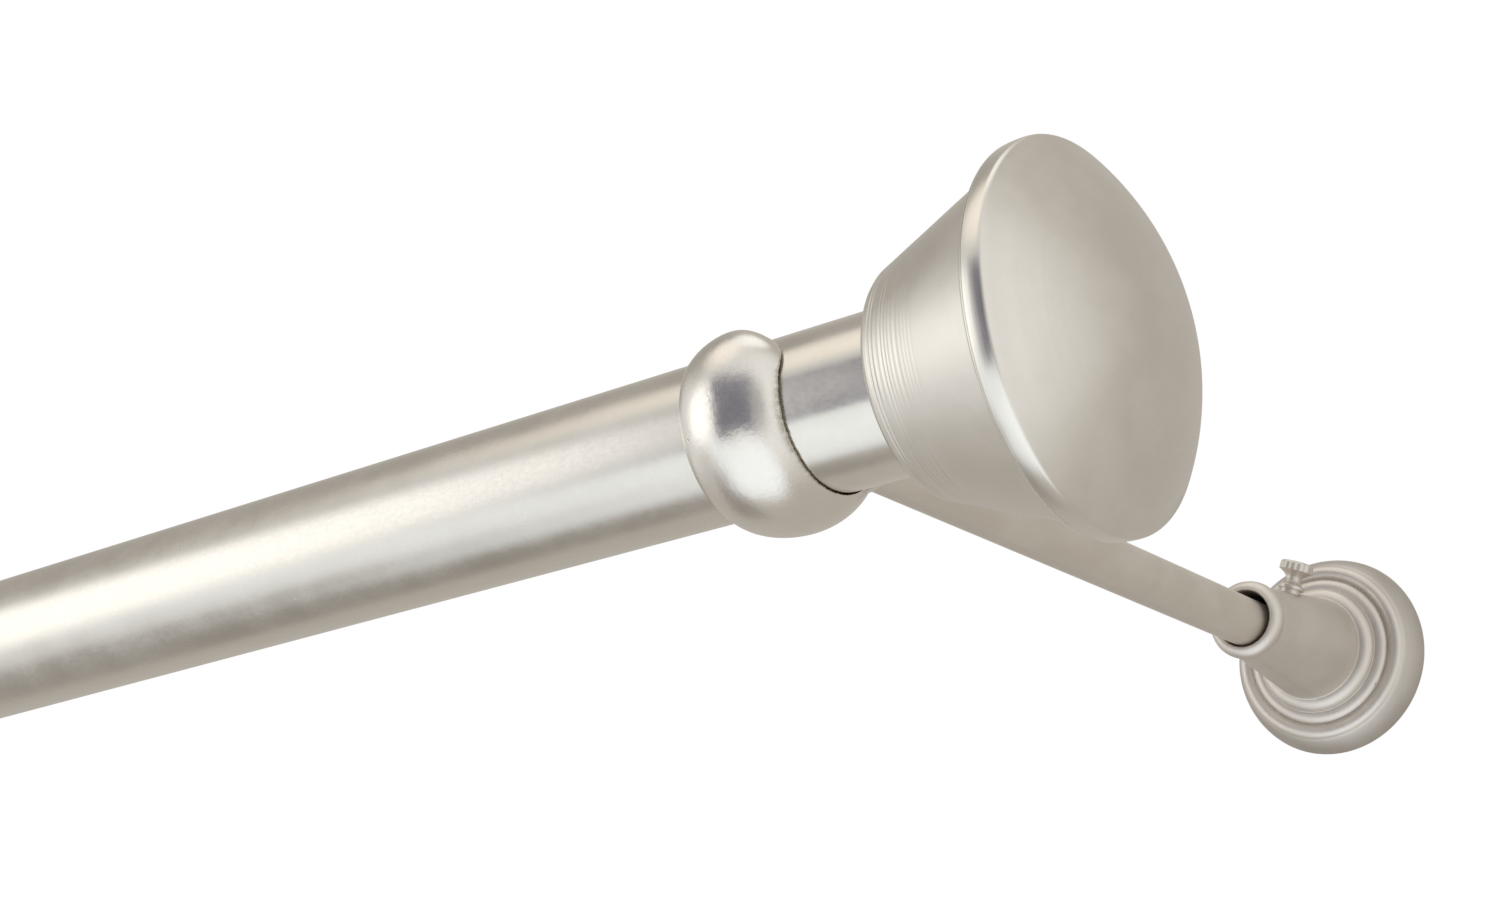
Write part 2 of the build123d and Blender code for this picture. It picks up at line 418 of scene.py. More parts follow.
@dataclass(frozen=True)
class Nickel:
    """Nickel plate over a ground, brushed, turned or cast surface.

    Attributes:
        colour: bright part of the plate.
        shade: slightly darker, warmer part in broad soft clouds.
        roughness: its lowest and highest value.
        marks: marks to the millimetre across the grain.
        depth: height of the marks in millimetres.
        pits: share of the surface with small pits and specks.
        centre: point in millimetres that the round grains turn about.
        stretch: part of the piece where the plate differs and where its colour can carry painted shade.
    """

    CLOUD_SCALE = 0.11
    CLOUD_RANGE = (0.35, 0.68)
    CLOUD_SHARE = 0.6
    ROUGH_RANGE = (0.34, 0.66)
    PIT_SCALE = 0.55
    PIT_EDGE = (0.03, 0.12)
    PIT_DEPTH = 0.05
    PIT_SHADE = 0.75
    RIPPLE_SCALE = 0.35
    RIPPLE_DEPTH = 0.004

    name: str
    colour: Triple
    shade: Triple
    roughness: tuple[float, float]
    grain: Grain
    marks: float
    depth: float
    pits: float
    centre: Triple = (0.0, 0.0, 0.0)
    stretch: Stretch | None = None

    def marks_height(self, graph: Graph, place: Socket) -> Socket:
        """Height pattern of the fine marks, from 0 to 1.

        Straight grains stretch a noise along their direction. Round grains read a noise of one value, the
        distance along the line plus the distance from it, so that the marks are rings. A cast skin has
        the same fine noise every way.

        Args:
            graph: the material's graph.
            place: position in millimetres, from the centre.

        Returns:
            Socket with the height.
        """
        if self.grain in (Grain.ROUND_ROD, Grain.ROUND_ARM):
            across = self.grain.value
            flat = graph.add("ShaderNodeVectorMath", {0: place, 1: across}, operation="MULTIPLY")
            away = graph.add("ShaderNodeVectorMath", {0: flat.outputs[0]}, operation="LENGTH")
            along = graph.dot(place, [1 - v for v in across])
            ring = graph.maths("ADD", along, away.outputs["Value"])
            inputs = {"W": ring, "Scale": self.marks, "Detail": 3.0, "Roughness": 0.6}
            return graph.add("ShaderNodeTexNoise", inputs, noise_dimensions="1D").outputs[0]
        stretch = tuple(self.marks / v for v in self.grain.value)
        drawn = graph.add("ShaderNodeMapping", {"Vector": place, "Scale": stretch}).outputs[0]
        return graph.noise(drawn, 1.0, 3.0, 0.55)

    def material(self) -> bpy.types.Material:
        """Builds the finish.

        Returns:
            Material whose colour drifts in broad clouds. Its roughness follows the clouds and the marks,
            and its bump adds the marks, a slight unevenness and sparse pits.
        """
        material, graph = Graph.of_material(self.name)
        place = graph.place(self.centre)
        marks = self.marks_height(graph, place)
        clouds = graph.noise(place, self.CLOUD_SCALE, 4.0, 0.6)
        cells = graph.add("ShaderNodeTexVoronoi", {"Vector": place, "Scale": self.PIT_SCALE}, feature="F1")
        rare = graph.add("ShaderNodeTexWhiteNoise", {"Vector": cells.outputs["Position"]}).outputs["Value"]
        chosen = graph.maths("LESS_THAN", rare, self.pits)
        near = graph.spread(cells.outputs["Distance"], *self.PIT_EDGE, 1.0, 0.0)
        speck = graph.maths("MULTIPLY", chosen, near)
        drift = graph.spread(clouds, *self.CLOUD_RANGE)
        plate = graph.tint(drift, self.shade, self.colour)
        worn = tuple(self.PIT_SHADE * v for v in self.shade)
        skin = graph.tint(speck, plate, worn)
        broad = graph.maths("MULTIPLY", clouds, self.CLOUD_SHARE)
        mixed = graph.maths("ADD", broad, graph.maths("MULTIPLY", marks, 1 - self.CLOUD_SHARE))
        rough = graph.spread(mixed, *self.ROUGH_RANGE, *self.roughness)
        if self.stretch:
            inside = self.stretch.share(graph, place)
            dulled = graph.spread(inside, 0.0, 1.0, 1.0, self.stretch.roughness)
            rough = graph.maths("MULTIPLY", rough, dulled)
            lowered = graph.spread(inside, 0.0, 1.0, 1.0, self.stretch.marks)
            marks = graph.maths("MULTIPLY", marks, lowered)
            # Painted shade: inside the stretch the colour is darkened towards black, standing in for a
            # darker reflection.
            painted_shade_share = graph.maths("MULTIPLY", inside, 1 - self.stretch.shade)
            skin = graph.tint(painted_shade_share, skin, (0.0, 0.0, 0.0))
        waves = graph.bump(graph.noise(place, self.RIPPLE_SCALE, 2.0), self.RIPPLE_DEPTH)
        fine = graph.bump(marks, self.depth, waves)
        dents = graph.bump(graph.maths("SUBTRACT", 1.0, speck), self.PIT_DEPTH, fine)
        graph.surface({"Base Color": skin, "Metallic": 1.0, "Roughness": rough, "Normal": dents})
        return material


@dataclass(frozen=True)
class MouldedPlastic:
    """White moulded plastic with a fine spark-eroded skin and faint flow clouds."""

    name: str = "white_moulded_plastic"
    colour: Triple = (0.80, 0.79, 0.75)
    shade: Triple = (0.72, 0.70, 0.65)
    roughness: tuple[float, float] = (0.38, 0.52)
    spark_depth: float = 0.01

    def material(self) -> bpy.types.Material:
        """Builds the finish from a slow noise for the colour and a fine one for the skin."""
        material, graph = Graph.of_material(self.name)
        place = graph.place()
        flow = graph.noise(place, 0.25, 3.0)
        spark = graph.noise(place, 6.0, 2.0)
        colour = graph.tint(graph.spread(flow, 0.35, 0.65), self.shade, self.colour)
        rough = graph.spread(spark, 0.3, 0.7, *self.roughness)
        skin = graph.bump(spark, self.spark_depth)
        graph.surface({"Base Color": colour, "Roughness": rough, "Normal": skin})
        return material


ROD_MIDDLE = (0.0, -140.0, -0.8)
TUBE_FINISH = Nickel(
    name="satin_tube_nickel",
    colour=(0.73, 0.70, 0.645), shade=(0.685, 0.655, 0.597), roughness=(0.20, 0.28),
    grain=Grain.ALONG_ROD, marks=2.4, depth=0.004, pits=0.002,
    stretch=Stretch(ALONG_X, first=304.0, last=330.0, roughness=0.82, marks=0.6),
)
FINIAL_FINISH = Nickel(
    name="turned_finial_nickel",
    colour=(0.75, 0.72, 0.665), shade=(0.70, 0.67, 0.61), roughness=(0.28, 0.37),
    grain=Grain.ROUND_ROD, marks=3.0, depth=0.006, pits=0.005,
    centre=ROD_MIDDLE,
    stretch=Stretch(ALONG_X, first=337.9, last=340.5, roughness=0.7, marks=0.3),
)
HOOK_FINISH = Nickel(
    name="polished_cast_nickel",
    colour=(0.77, 0.74, 0.69), shade=(0.72, 0.69, 0.635), roughness=(0.20, 0.30),
    grain=Grain.CAST, marks=2.0, depth=0.016, pits=0.05,
)
ARM_FINISH = Nickel(
    name="matt_arm_nickel",
    colour=(0.78, 0.735, 0.675), shade=(0.72, 0.675, 0.615), roughness=(0.40, 0.52),
    grain=Grain.ALONG_ARM, marks=3.0, depth=0.006, pits=0.02,
)
BASE_FINISH = Nickel(
    name="matt_turned_base_nickel",
    colour=(0.73, 0.685, 0.625), shade=(0.675, 0.63, 0.575), roughness=(0.42, 0.54),
    grain=Grain.ROUND_ARM, marks=3.0, depth=0.006, pits=0.02,
    # shade=0.78 darkens the outer flank's colour as painted shade for a darker reflection; its higher
    # roughness is the plate's own.
    stretch=Stretch(ALONG_Y, first=-1.0, last=4.8, roughness=1.1, marks=1.0, shade=0.78, fade=0.4),
)
SCREW_FINISH = Nickel(
    name="zinc_plated_steel",
    colour=(0.62, 0.62, 0.61), shade=(0.54, 0.54, 0.52), roughness=(0.22, 0.36),
    grain=Grain.ROUND_ROD, marks=5.0, depth=0.004, pits=0.03,
    centre=ROD_MIDDLE,
)
PLUG_FINISH = MouldedPlastic()


# Pieces


def dress_ends(skin: Skin, finish: Nickel, name: str, node: str, body: str) -> Pieces:
    """Builds a skin at both ends, each in place of its node.

    Args:
        skin: the right end's skin.
        finish: its plate.
        name: the piece's name after the end's word.
        node: the node's name after the end's word.
        body: body that the piece rides, where {end} stands for the end's word.

    Returns:
        The two pieces.
    """
    material = finish.material()
    made = []
    for end in End:
        piece = skin.for_end(end).build(f"{end.word}_{name}", material)
        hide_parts(f"{end.word}_{node}")
        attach(piece, body.format(end=end.word))
        made.append(piece)
    return made


@dataclass(frozen=True)
class Fit:
    """Sizes that the pieces share.

    Lengths along x count from the middle of the rod, y from the wall, and z from the base's axis. The rod
    and the arm rest low in their seats. The boss face is where the hook meets the arm.
    """

    tube_radius: float = 9.5
    tube_wall: float = 1.0
    bracket_x: float = 300.0
    tube_end: float = 320.0
    rod_y: float = -140.0
    rod_z: float = -0.8
    arm_z: float = -0.45
    boss_face: float = -124.0

    @property
    def rod(self) -> Axle:
        """The rod's axis, from the middle towards the right end."""
        return Axle((0.0, self.rod_y, self.rod_z), ALONG_X, ALONG_Y)

    @property
    def rod_end(self) -> Axle:
        """The rod's axis from the right end of the tube outwards."""
        return Axle((self.tube_end, self.rod_y, self.rod_z), ALONG_X, ALONG_Y)

    @property
    def wall_out(self) -> Axle:
        """The right base's axis, from the wall into the room."""
        return Axle((self.bracket_x, 0.0, 0.0), (0.0, -1.0, 0.0), ALONG_X)

    @property
    def arm(self) -> Axle:
        """The right arm's axis, from the boss towards the wall."""
        return Axle((self.bracket_x, self.boss_face, self.arm_z), ALONG_Y, ALONG_X)


@dataclass(frozen=True)
class Rod:
    """The thin tube."""

    fit: Fit
    end_chamfer: float = 0.25
    edge_round: float = 0.08
    seam: float = 0.5
    segments: int = 192

    def skin(self) -> Skin:
        """Closed loop of outer wall, end chamfers and bore, spun about the rod's axis."""
        outer, inner = self.fit.tube_radius, self.fit.tube_radius - self.fit.tube_wall
        end, cut, edge = self.fit.tube_end, self.end_chamfer, self.edge_round
        half = [(end - cut, outer), (end, outer - cut), (end, inner + cut), (end - cut, inner)]
        ring = [(x, radius, edge) for x, radius in half]
        ring += [(-x, radius, edge) for x, radius in reversed(half)]
        ring = [(0.0, outer, 0.0), *ring, (-self.seam, outer, 0.0)]
        return turned(rounded(ring, 4, 24), self.fit.rod, self.segments, True)

    def dress(self) -> Pieces:
        """Builds the tube in place of its node."""
        tube = self.skin().build("satin_tube", TUBE_FINISH.material())
        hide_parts("rod_tube")
        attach(tube, "rod_and_arms")
        return [tube]


@dataclass(frozen=True)
class Finial:
    """Turned end piece: a cone with fine turning lines, a stepped rounded band and a low dome."""

    fit: Fit
    narrow_radius: float = 13.3
    narrow_round: float = 0.6
    cone_length: float = 17.8
    cone_radius: float = 20.2
    band_step: float = 1.42
    band_round: float = 0.6
    band_length: float = 2.8
    band_swell: float = 0.1
    rim_radius: float = 21.8
    rim_round: float = 0.4
    rim_margin: float = 0.6
    dome_radius: float = 34.0
    seat_radius: float = 6.5
    seat_depth: float = 3.0
    hole_radius: float = 2.05
    hole_depth: float = 13.0
    first_line: float = 1.1
    line_count: int = 13
    line_pitch: float = 0.66
    line_depth: float = 0.085
    depth_wander: float = 0.28
    depth_wave: float = 1.9
    pitch_wander: float = 0.18
    pitch_wave: float = 1.3
    relief_depth: float = 0.22
    relief_setback: float = 0.3
    relief_width: float = 0.16
    foot_run: float = 0.12
    cone_points: int = 210
    band_points: int = 40
    step_points: int = 8
    rim_points: int = 9
    dome_points: int = 48
    segments: int = 192

    def cone(self) -> Array:
        """Run of the cone with its turning lines.

        Radius grows evenly along the cone, less a raised cosine of the line pitch whose depth fades
        evenly to nothing. Slow sines vary the lines' depth and spacing a little. A narrow bell-shaped
        relief comes off at the foot of the band.
        """
        along = np.linspace(self.narrow_round, self.cone_length - self.foot_run, self.cone_points)
        radius = self.narrow_radius + (self.cone_radius - self.narrow_radius) * along / self.cone_length
        count = (along - self.first_line) / self.line_pitch
        fade = np.clip(1 - count / self.line_count, 0, 1) * (count > 0)
        depth = 1 - self.depth_wander + self.depth_wander * np.sin(self.depth_wave * count)
        phase = count + self.pitch_wander * np.sin(self.pitch_wave * count)
        lines = self.line_depth * fade * depth * (0.5 - 0.5 * np.cos(2 * math.pi * phase))
        from_relief = along - self.cone_length + self.relief_setback
        relief = self.relief_depth * np.exp(-((from_relief / self.relief_width) ** 2))
        return np.stack([along, radius - lines - relief], axis=1)

    def profile(self) -> Array:
        """Profile from the bottom of the screw hole, over the outside, to the top of the dome."""
        inside = [
            (self.hole_depth, NEAR_AXIS, 0.0),
            (self.hole_depth, self.hole_radius, 0.05),
            (self.seat_depth, self.hole_radius, 0.1),
            (self.seat_depth, self.seat_radius, 0.1),
            (0.0, self.seat_radius, 0.3),
            (0.0, self.narrow_radius, self.narrow_round),
            (self.cone_length, self.cone_radius, 0.0),
        ]
        hole = rounded(inside)
        hole = hole[: int(np.argmax(hole[:, 1] > self.narrow_radius))]
        foot = self.cone_radius + self.band_step
        rim_x = self.cone_length + self.band_length
        rim_corner = (rim_x, self.rim_radius)
        band = arc((self.cone_length, foot), rim_corner, self.band_swell, self.band_points)
        ledge = [
            (self.cone_length - self.foot_run, self.cone_radius - 0.05, 0.0),
            (self.cone_length, self.cone_radius, 0.05),
            (self.cone_length, foot, self.band_round),
            (*band[self.step_points], 0.0),
        ]
        step = rounded(ledge, 10, 4)
        top = rim_x + self.dome_radius - math.sqrt(self.dome_radius**2 - self.rim_radius**2)
        tilt = math.asin((self.rim_radius - self.rim_margin) / self.dome_radius)
        turn = np.linspace(tilt, 0.002, self.dome_points)
        drop = self.dome_radius * (1 - np.cos(turn))
        dome = np.stack([top - drop, self.dome_radius * np.sin(turn)], axis=1)
        band_end = band[-self.rim_points]
        rim = rounded([(*band_end, 0.0), (*rim_corner, self.rim_round), (*dome[0], 0.0)], 14, 3)
        band = band[self.step_points + 1 : -self.rim_points]
        return joined(hole, self.cone(), step, band, rim, dome)

    def dress(self) -> Pieces:
        """Builds both finials in place of their nodes."""
        skin = turned(self.profile(), self.fit.rod_end, self.segments, False)
        return dress_ends(skin, FINIAL_FINISH, "turned_finial", "finial", "{end}_finial")


@dataclass(frozen=True)
class Hook:
    """Cast open hook with a finger-shaped tip, a heel and a boss that the arm screws into."""

    fit: Fit
    bore: float = 9.9
    half_width: float = 6.7
    thickness: float = 3.3
    edge: float = 0.12
    lip_gap: float = 0.13
    edge_slant: float = 22.0
    tip_angle: float = 131.0
    heel_angle: float = 40.0
    end_fullness: float = 0.6
    edge_wobble: float = 0.12
    wobble_reach: float = 0.4
    wobble_waves: tuple[float, ...] = (9.0, 23.0, 47.0, 83.0)
    lip_tuck: float = 0.05
    lip_round: float = 0.12
    least_share: float = 0.02
    end_rows: int = 28
    middle_rows: int = 318
    boss_radius: float = 4.8
    boss_fillet: float = 1.3
    boss_rim: float = 0.35
    boss_sink: float = 0.1
    boss_least_wall: float = 0.6
    boss_points: int = 96

    def band(self) -> Skin:
        """The band round the rod.

        A closed section of flat bore, short flanks and a half ellipse is carried round the hook's axis. On
        the side of the rod's end the ellipse is cut off where its slant is reached. Near both ends its
        width shrinks along a quarter circle, sqrt(1 - s*s), and its height by a power of that share. The
        bore follows the rod, which rests low in it, at the lip's gap. Its edges wander by a mean of sines.
        """
        end_arc = self.half_width / (self.bore + self.thickness / 2)
        tip = math.radians(self.tip_angle)
        heel = math.radians(360 + self.heel_angle)
        ease = np.sin(np.linspace(0, math.pi / 2, self.end_rows))
        middle = np.linspace(tip + end_arc, heel - end_arc, self.middle_rows + 2)[1:-1]
        start, stop = tip + end_arc * (1 - ease[::-1]), heel - end_arc * (1 - ease)
        angle = np.concatenate([start, middle, stop])
        ending = np.sqrt(1 - ease**2)
        share = np.concatenate([ending[::-1], np.ones(self.middle_rows), ending])
        share = np.maximum(share, self.least_share)[:, None]
        slant = math.radians(self.edge_slant)
        round_it = np.linspace(slant, math.pi, 61)[None, :]
        seat = self.fit.tube_radius + (self.fit.rod_z - self.fit.arm_z) * np.sin(angle) + self.lip_gap
        bore = np.minimum(self.bore, seat)[:, None]
        crest = (self.bore + self.thickness - bore - self.edge) * share**self.end_fullness
        cut = np.where(round_it < math.pi / 2, slant, 0.0)
        outer_x = share * np.cos(round_it) / np.cos(cut)
        rise = (np.sin(round_it) - np.sin(cut)) / (1 - np.sin(cut))
        outer_r = bore + self.edge * share + crest * rise
        waves = np.array(self.wobble_waves)
        wander = self.edge_wobble * np.sin(angle[:, None] * waves + waves).mean(axis=1, keepdims=True)
        lip = np.linspace(0, 1, 6)[None, 1:]
        lip_x = -share * (1 - self.lip_tuck * lip**2)
        lip_r = bore + self.edge * share * (1 - lip) + self.lip_round * share * (1 - lip) * lip
        across = np.linspace(-1, 1, 15)[None, 1:-1]
        bore_x = share * across * (1 - self.lip_tuck)
        bore_r = np.repeat(bore, bore_x.shape[1], axis=1)
        x = np.concatenate([outer_x, lip_x, bore_x, -lip_x[:, ::-1]], axis=1) * self.half_width
        r = np.concatenate([outer_r, lip_r, bore_r, lip_r[:, ::-1]], axis=1)
        near_edge = np.clip(1 - (r - bore) / (self.edge + self.wobble_reach), 0, 1)
        x = x + wander * near_edge * np.sign(x) * share
        turn = np.repeat(angle[:, None], x.shape[1], axis=1)
        axle = Axle((self.fit.bracket_x, self.fit.rod_y, self.fit.arm_z), ALONG_X, ALONG_Y)
        return Skin.from_grid(axle.place(x, r, turn), False).outward()

    def boss(self) -> Skin:
        """The boss.

        A ring of points goes round the arm's axis. Its foot lies on the band's crest, at the distance from
        the hook's axis that the band's half ellipse has at that x, and a quadratic curve brings it up to
        the boss's wall, which ends in a rounded rim and a flat face.
        """
        turn = full_turn(self.boss_points)
        foot_x = (self.boss_radius + self.boss_fillet) * np.cos(turn)
        foot_z = (self.boss_radius + self.boss_fillet) * np.sin(turn)
        swell = np.sqrt(np.clip(1 - (foot_x / self.half_width) ** 2, 0, 1))
        crest = self.bore + self.edge + (self.thickness - self.edge) * swell
        foot = np.sqrt(crest**2 - foot_z**2) - self.boss_sink
        reach = self.fit.boss_face - self.fit.rod_y
        wall = np.minimum(foot + self.boss_fillet, reach - self.boss_least_wall)
        t = np.linspace(0, 1, 13)[:, None]
        rise = (1 - t**2) * foot + t**2 * wall
        radius = np.repeat(self.boss_radius + (1 - t) ** 2 * self.boss_fillet, len(turn), axis=1)
        corner = (1.0, self.boss_radius, self.boss_rim)
        rim = rounded([(0.0, self.boss_radius, 0.0), corner, (1.0, 0.2, 0.0)], 6, 6)
        cap_rise = wall[None, :] + rim[1:, :1] * (reach - wall)[None, :]
        cap_radius = np.repeat(rim[1:, 1:], len(turn), axis=1)
        along = np.concatenate([rise, cap_rise]) - reach
        grid = self.fit.arm.place(along, np.concatenate([radius, cap_radius]), turn[None, :])
        return Skin.from_grid(grid, False).outward()

    def dress(self) -> Pieces:
        """Builds both hooks in place of their nodes."""
        skin = self.band() + self.boss()
        return dress_ends(skin, HOOK_FINISH, "cast_hook", "hook", "rod_and_arms")


@dataclass(frozen=True)
class Arm:
    """Straight bar with a spigot that screws into the hook's boss."""

    fit: Fit
    radius: float = 3.5
    chamfer: float = 0.5
    spigot_radius: float = 2.5
    spigot_length: float = 5.0
    wall_end: float = -7.6
    segments: int = 96

    def dress(self) -> Pieces:
        """Builds both arms, turned profiles of spigot and bar, in place of their nodes."""
        length = self.wall_end - self.fit.boss_face
        corners = [
            (-self.spigot_length, NEAR_AXIS, 0.0),
            (-self.spigot_length, self.spigot_radius, 0.3),
            (0.0, self.spigot_radius, 0.05),
            (0.0, self.radius - self.chamfer, 0.08),
            (self.chamfer, self.radius, 0.12),
            (length - self.chamfer, self.radius, 0.12),
            (length, self.radius - self.chamfer, 0.08),
            (length, NEAR_AXIS, 0.0),
        ]
        skin = turned(rounded(corners, 5, 24), self.fit.arm, self.segments, False)
        return dress_ends(skin, ARM_FINISH, "bracket_bar", "arm", "rod_and_arms")


@dataclass(frozen=True)
class WallBase:
    """Turned wall base: beaded foot, tapering neck, rounded lip, socket and countersunk screw hole."""

    fit: Fit
    back_radius: float = 14.4
    edge_radius: float = 15.0
    edge_height: float = 1.3
    shoulder_radius: float = 13.3
    shoulder_height: float = 5.0
    flank_swell: float = 0.35
    shoulder_swell: float = 0.7
    groove_radii: tuple[float, ...] = (11.2, 9.45, 7.75)
    groove_heights: tuple[float, ...] = (5.2, 6.3, 8.0)
    bead_swell: float = 0.5
    neck_radius: float = 5.3
    neck_height: float = 27.4
    lip_swell: float = 0.75
    height: float = 30.0
    socket_radius: float = 4.1
    mouth_round: float = 0.5
    floor: float = 4.6
    hole_radius: float = 2.3
    hole_chamfer: float = 0.1
    countersink_land: float = 0.3
    edge_swell: float = 0.125
    mouth_swell: float = 0.1
    segments: int = 160

    def profile(self) -> Array:
        """Closed loop from the back over the beads and the neck, down the socket and out of the hole."""
        grooves = list(zip(self.groove_heights, self.groove_radii))
        shoulder = (self.shoulder_height, self.shoulder_radius)
        sink = self.socket_radius - self.countersink_land
        lip = (self.height, self.socket_radius + self.mouth_round)
        hole = self.hole_radius + self.hole_chamfer
        back = rounded([(0.0, hole, 0.0), (0.0, self.back_radius, 0.0)], 2, 8)
        neck = rounded([(*grooves[2], 0.0), (self.neck_height, self.neck_radius, 0.0)], 2, 30)
        socket = [
            (self.height - self.mouth_round, self.socket_radius, 0.0),
            (self.floor, self.socket_radius, 0.1),
            (self.floor, sink, 0.08),
            (self.floor - sink + self.hole_radius, self.hole_radius, 0.08),
            (self.hole_chamfer, self.hole_radius, 0.0),
        ]
        path = [(0.0, self.back_radius), (self.edge_height, self.edge_radius), shoulder, *grooves]
        swells = (self.edge_swell, self.flank_swell, self.shoulder_swell, self.bead_swell, self.bead_swell)
        steps = (8, 18, 16, 14, 14)
        foot = [arc(*run) for run in zip(path, path[1:], swells, steps)]
        top = arc((self.neck_height, self.neck_radius), lip, self.lip_swell, 16)
        mouth = arc(lip, (self.height - self.mouth_round, self.socket_radius), self.mouth_swell, 8)
        return joined(back, *foot, neck, top, mouth, rounded(socket, 4, 14))

    def dress(self) -> Pieces:
        """Builds both bases in place of their nodes."""
        skin = turned(self.profile(), self.fit.wall_out, self.segments, True)
        return dress_ends(skin, BASE_FINISH, "turned_base", "base", "wall_bases")


@dataclass(frozen=True)
class Thumbscrew:
    """Small knurled screw that clamps the arm, leaning a little off upright."""

    fit: Fit
    distance: float = 18.5
    lean: float = 22.0
    foot: float = 3.23
    shank_radius: float = 1.5
    collar_foot: float = 6.83
    collar_radius: float = 1.9
    collar_height: float = 0.5
    waist_radius: float = 1.15
    waist_height: float = 2.3
    head_radius: float = 2.45
    head_height: float = 1.3
    head_round: float = 0.5
    knurls: int = 12
    knurl_depth: float = 0.11
    knurl_points: int = 16
    knurl_runout: float = 0.3
    knurl_core: float = 0.6

    def skin(self) -> Skin:
        """The turned screw, with flutes in its head.

        The flutes take a power of a raised cosine of the turn off the radius, as many as there are
        knurls, only between the head's lower and upper edge.
        """
        collar_top = self.collar_foot + self.collar_height
        waist_top = collar_top + self.waist_height
        head_top = waist_top + self.head_height
        stem = [
            (self.foot, NEAR_AXIS, 0.0),
            (self.foot, self.shank_radius, 0.2),
            (self.collar_foot, self.shank_radius, 0.05),
            (self.collar_foot, self.collar_radius, 0.12),
            (collar_top, self.collar_radius, 0.0),
        ]
        shank = rounded(stem, 4, 6)
        across = np.linspace(0, 1, 24)
        dip = 4 * across * (1 - across)
        level = self.collar_radius + (self.head_radius - self.collar_radius) * across
        deep = (self.collar_radius + self.head_radius) / 2 - self.waist_radius
        waist = np.stack([collar_top + self.waist_height * across, level - deep * dip], axis=1)
        rim = (head_top, self.head_radius, self.head_round)
        head = rounded([(waist_top, self.head_radius, 0.0), rim, (head_top, NEAR_AXIS, 0.0)], 8, 14)
        profile = joined(shank, waist, head)
        segments = self.knurl_points * self.knurls
        cut = (0.5 + 0.5 * np.cos(self.knurls * full_turn(segments))) ** 2
        above = np.clip((profile[:, 0] - waist_top) / self.knurl_runout + 1, 0, 1)
        band = above * (profile[:, 1] > self.head_radius * self.knurl_core)
        flutes = self.knurl_depth * band[:, None] * cut[None, :]
        tilt = math.radians(self.lean)
        origin = (self.fit.bracket_x, -self.distance, 0.0)
        axle = Axle(origin, (math.sin(tilt), 0.0, math.cos(tilt)), ALONG_Y)
        return turned(profile, axle, segments, False, flutes)

    def dress(self) -> Pieces:
        """Builds both thumbscrews in place of their nodes."""
        body = "{end}_thumbscrew"
        return dress_ends(self.skin(), BASE_FINISH, "knurled_screw", "thumbscrew", body)


@dataclass(frozen=True)
class Plugs:
    """The ribbed plugs and their screws keep their CAD shape and get their finishes."""

    def dress(self) -> Pieces:
        """Puts the plastic on the plugs and the zinc on the screws."""
        finishes = {"finial_plug": PLUG_FINISH.material(), "plug_screw": SCREW_FINISH.material()}
        made = []
        for end in End:
            for node, material in finishes.items():
                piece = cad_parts[f"{end.word}_{node}"]
                piece.data.materials.clear()
                piece.data.materials.append(material)
                made.append(piece)
        return made


# Studio


class Tint(Enum):
    """Colour of the light that a part of the studio throws back."""

    PLAIN = (1.0, 1.0, 0.99)
    WARM = (1.0, 0.94, 0.87)
    CLEAR = (0.96, 1.0, 1.04)
    COOL = (0.93, 0.91, 1.10)


@dataclass(frozen=True)
class Glow:
    """Soft patch of the studio that the metal reflects.

    Attributes:
        azimuth: degrees from straight ahead of the wall, positive towards +X.
        elevation: degrees above the horizon.
        inner: angle in degrees within which it is full.
        outer: angle at which it has faded out.
        level: its brightness, where 1 is white.
        tint: its colour.
    """

    azimuth: float
    elevation: float
    inner: float
    outer: float
    level: float
    tint: Tint = Tint.PLAIN

    def direction(self) -> Triple:
        """Unit direction from the rod to the patch."""
        turn, rise = math.radians(self.azimuth), math.radians(self.elevation)
        return (math.cos(rise) * math.sin(turn), -math.cos(rise) * math.cos(turn), math.sin(rise))

    def colour(self) -> Triple:
        """Brightness in its tint."""
        return tuple(self.level * v for v in self.tint.value)

    def share(self, graph: Graph, towards: Socket) -> Socket:
        """How much of the patch a direction sees, by its angle from the middle.

        Args:
            graph: the world's graph.
            towards: direction of the ray.

        Returns:
            Socket from 0 to 1.
        """
        dot = graph.dot(towards, self.direction())
        faded, full = (math.cos(math.radians(v)) for v in (self.outer, self.inner))
        return graph.spread(dot, faded, full)


@dataclass(frozen=True)
class Panel(Glow):
    """Upright four-sided patch. Its inner and outer angles are half its width, full and faded.

    Attributes:
        tallness: height over width.
    """

    tallness: float = 1.0

    def share(self, graph: Graph, towards: Socket) -> Socket:
        """How much of the panel a direction sees: its share across times its share up, in front only.

        Args:
            graph: the world's graph.
            towards: direction of the ray.

        Returns:
            Socket from 0 to 1.
        """
        turn, rise = math.radians(self.azimuth), math.radians(self.elevation)
        right = (math.cos(turn), math.sin(turn), 0.0)
        up = (-math.sin(rise) * math.sin(turn), math.sin(rise) * math.cos(turn), math.cos(rise))
        shares = [graph.maths("GREATER_THAN", graph.dot(towards, self.direction()), 0.0)]
        for side, scale in ((right, 1.0), (up, self.tallness)):
            away = graph.maths("ABSOLUTE", graph.dot(towards, side))
            full, faded = (math.sin(math.radians(scale * v)) for v in (self.inner, self.outer))
            shares.append(graph.spread(away, full, faded, 1.0, 0.0))
        return graph.maths("MULTIPLY", shares[0], graph.maths("MULTIPLY", shares[1], shares[2]))


